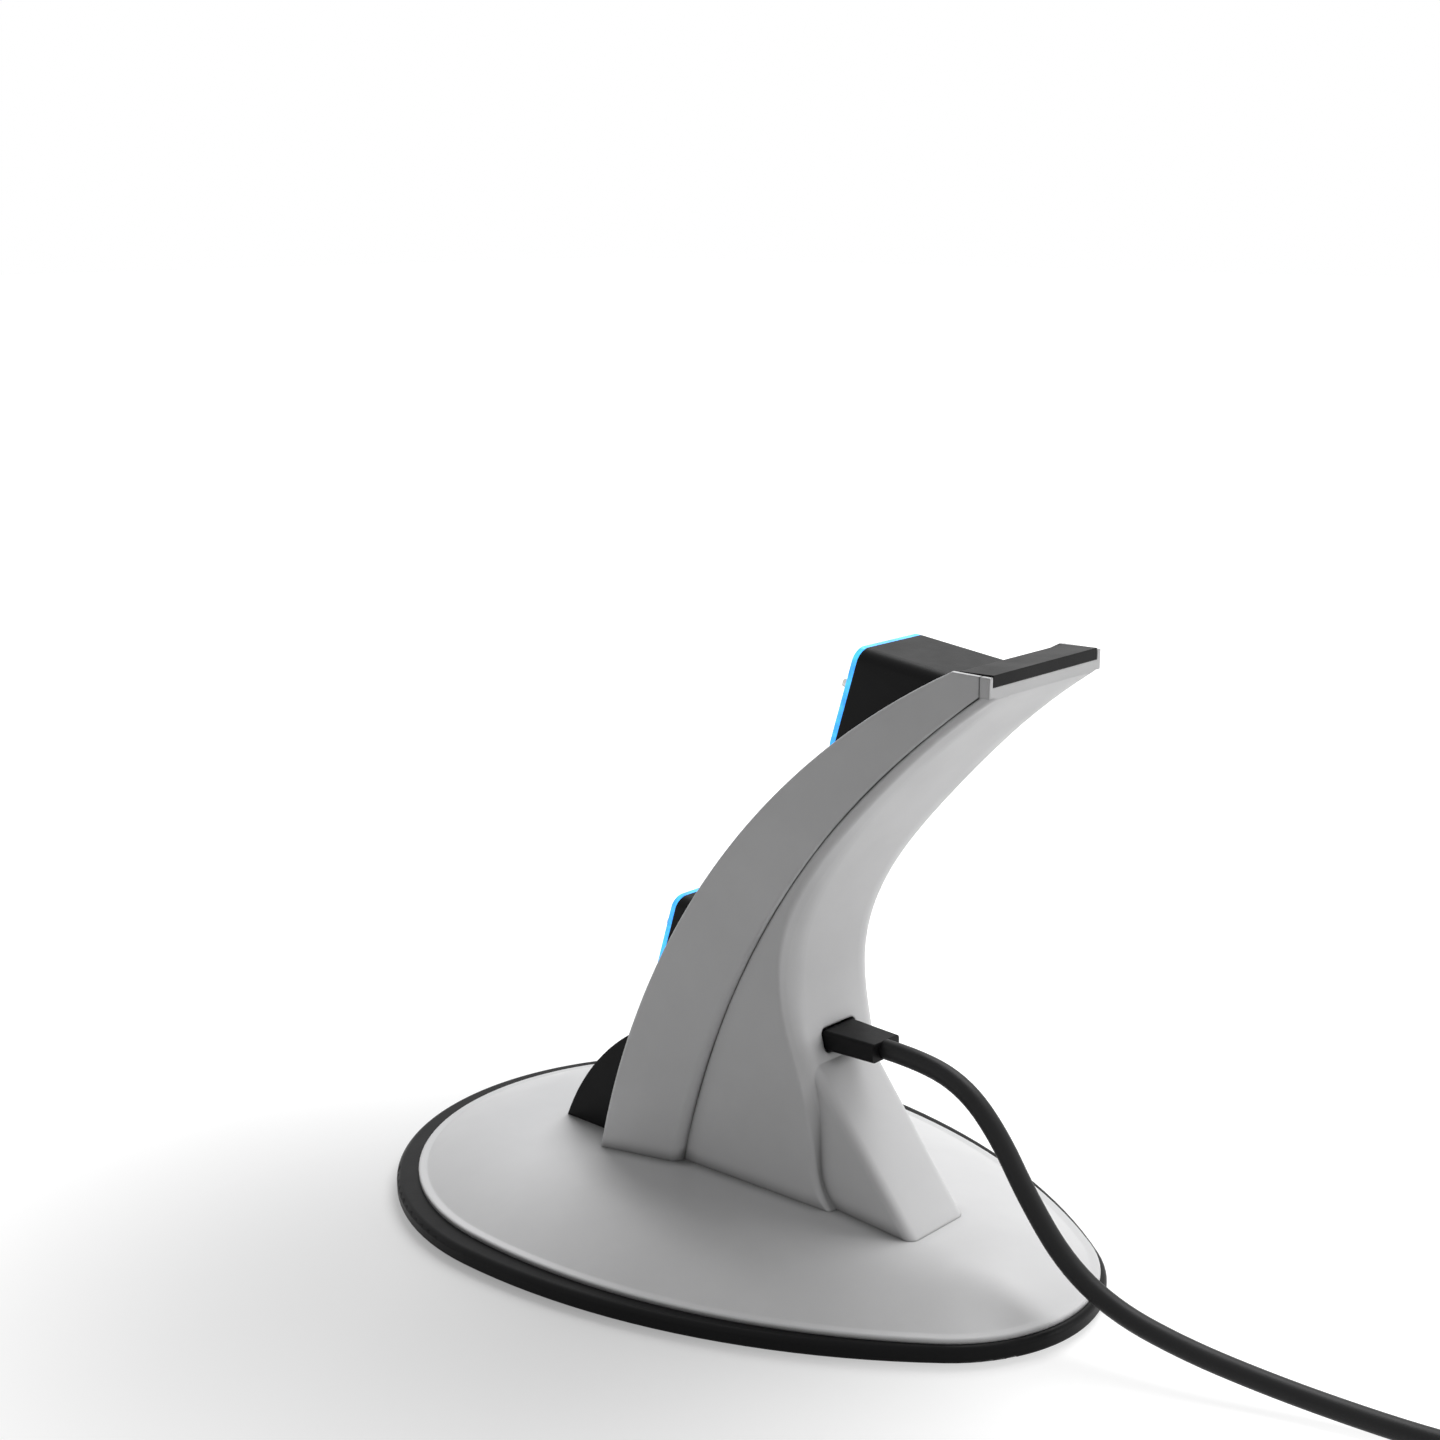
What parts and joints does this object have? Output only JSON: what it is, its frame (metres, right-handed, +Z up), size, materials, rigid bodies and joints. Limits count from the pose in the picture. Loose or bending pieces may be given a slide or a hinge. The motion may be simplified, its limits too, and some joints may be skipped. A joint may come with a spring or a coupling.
{
  "type": "controller charging dock",
  "caption": "Desk charging dock: a domed oval base carries an arched stand with leaning plug boxes that glow at the front, and a cord that plugs in at the back.",
  "frame": {"origin": "middle of the base, on the surface that the rubber feet stand on", "axes": "+Z up, -Y towards the side with the charging plugs, +Y towards the cord, +X to the user's right"},
  "size_m": [0.1717, 0.3392, 0.1504],
  "materials": {
    "white_plastic": "satin",
    "black_plastic": "satin",
    "light_guide": "clear",
    "led": "clear",
    "plug_metal": "nickel plated",
    "screw_metal": "zinc plated",
    "circuit_board": "satin",
    "lead_insulation": "matte",
    "foot_rubber": "matte",
    "cord_rubber": "satin"
  },
  "bodies": {
    "root": {"base_tray": "black_plastic", "base_cover": "white_plastic", "rubber_feet": "foot_rubber", "base_screws": "screw_metal", "stand_screws": "screw_metal", "right_side_band": "white_plastic", "left_side_band": "white_plastic", "stand_rear_shell": "white_plastic", "front_fascia": "black_plastic", "upper_dock_housing": "black_plastic", "lower_dock_housing": "black_plastic", "upper_light_guide": "light_guide", "lower_light_guide": "light_guide", "upper_dock_board": "circuit_board", "lower_dock_board": "circuit_board", "upper_dock_plug": "plug_metal", "lower_dock_plug": "plug_metal", "upper_dock_leds": "led", "lower_dock_leds": "led", "main_board": "circuit_board", "input_socket": "plug_metal", "lower_power_lead": "lead_insulation", "upper_power_lead": "lead_insulation", "cord_plug_body": "black_plastic", "cord_plug_shell": "plug_metal", "charging_cord": "cord_rubber", "cord_coil": "cord_rubber", "cord_tie": "cord_rubber", "supply_plug_body": "black_plastic", "supply_plug_shell": "plug_metal"}
  },
  "joints": []
}
